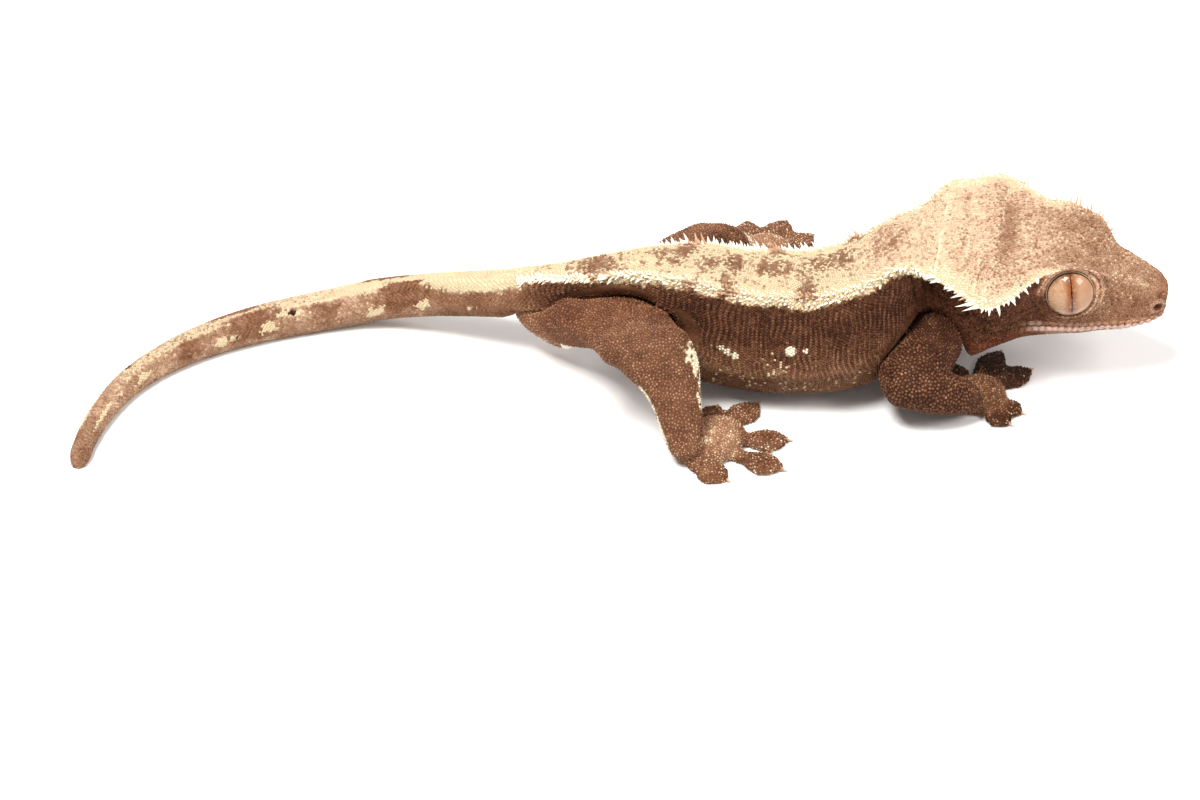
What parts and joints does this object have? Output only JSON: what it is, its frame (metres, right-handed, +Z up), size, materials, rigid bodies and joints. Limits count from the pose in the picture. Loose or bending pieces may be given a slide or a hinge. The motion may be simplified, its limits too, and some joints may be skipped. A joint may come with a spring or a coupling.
{
  "type": "crested gecko",
  "caption": "Life-size crested gecko model standing on the floor, with a wide spiny head crest, splayed toe pads and a long tail laid in a curve.",
  "frame": {"origin": "middle of the footprint, on the floor that the feet and the tail rest on", "axes": "+X from tail to head, +Y the animal's left, +Z up"},
  "size_m": [0.1778, 0.0732, 0.03],
  "materials": {
    "skin": "matt granular lizard skin, brown with a cream back and crest",
    "eye": "clear glossy eye with a pinkish tan iris and a thin upright pupil"
  },
  "bodies": {
    "root": {"tail_tip": "skin", "tail_middle": "skin", "tail_base": "skin", "hips": "skin", "torso": "skin", "neck": "skin", "head": "skin", "lower_jaw": "skin", "eye_left": "eye", "eye_right": "eye", "upper_arm_right": "skin", "forearm_right": "skin", "hand_right": "skin", "upper_arm_left": "skin", "forearm_left": "skin", "hand_left": "skin", "thigh_right": "skin", "shin_right": "skin", "foot_right": "skin", "thigh_left": "skin", "shin_left": "skin", "foot_left": "skin"}
  },
  "joints": []
}
